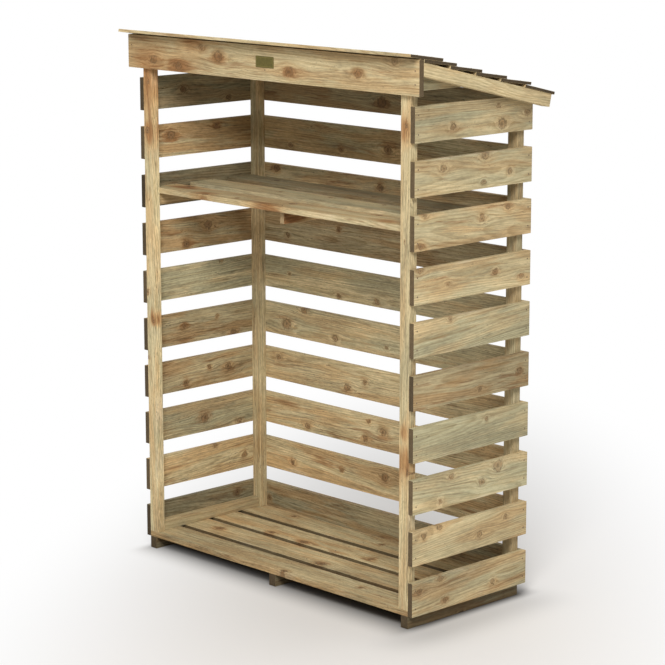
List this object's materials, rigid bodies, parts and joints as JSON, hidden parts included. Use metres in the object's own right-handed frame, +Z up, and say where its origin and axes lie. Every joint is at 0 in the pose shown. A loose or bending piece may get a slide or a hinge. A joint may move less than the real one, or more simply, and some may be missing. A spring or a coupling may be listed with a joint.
{
  "type": "log store",
  "caption": "Free-standing slatted timber log store, open at the front, with a floor, a shelf high up and a roof of lapped boards that falls to the back.",
  "frame": {"origin": "on the ground, in the middle of the store's bounding box", "axes": "+Z up, the open front faces -Y, +X to the right of someone who looks in from the front"},
  "size_m": [1.169, 0.5596, 1.5453],
  "materials": {
    "bearer": "matt",
    "floor": "matt",
    "framing": "matt",
    "slat": "matt",
    "shelf": "matt",
    "fascia": "matt",
    "roof": "matt",
    "plate": "satin"
  },
  "bodies": {
    "root": {"bearer_left": "bearer", "bearer_middle": "bearer", "bearer_right": "bearer", "floorboard_1": "floor", "floorboard_2": "floor", "floorboard_3": "floor", "floorboard_4": "floor", "front_post_left": "framing", "front_post_right": "framing", "rear_post_left": "framing", "rear_post_right": "framing", "floor_batten_left": "framing", "floor_batten_right": "framing", "rafter_left": "framing", "rafter_right": "framing", "rafter_middle": "framing", "shelf_batten_left": "framing", "shelf_batten_middle": "framing", "shelf_batten_right": "framing", "side_slats_left": "slat", "side_slats_right": "slat", "gable_board_left": "slat", "gable_board_right": "slat", "back_slats": "slat", "shelf_board_1": "shelf", "shelf_board_2": "shelf", "shelf_board_3": "shelf", "fascia": "fascia", "roof_board_1": "roof", "roof_board_2": "roof", "roof_board_3": "roof", "roof_board_4": "roof", "roof_board_5": "roof", "roof_board_6": "roof", "plate": "plate"}
  },
  "joints": []
}
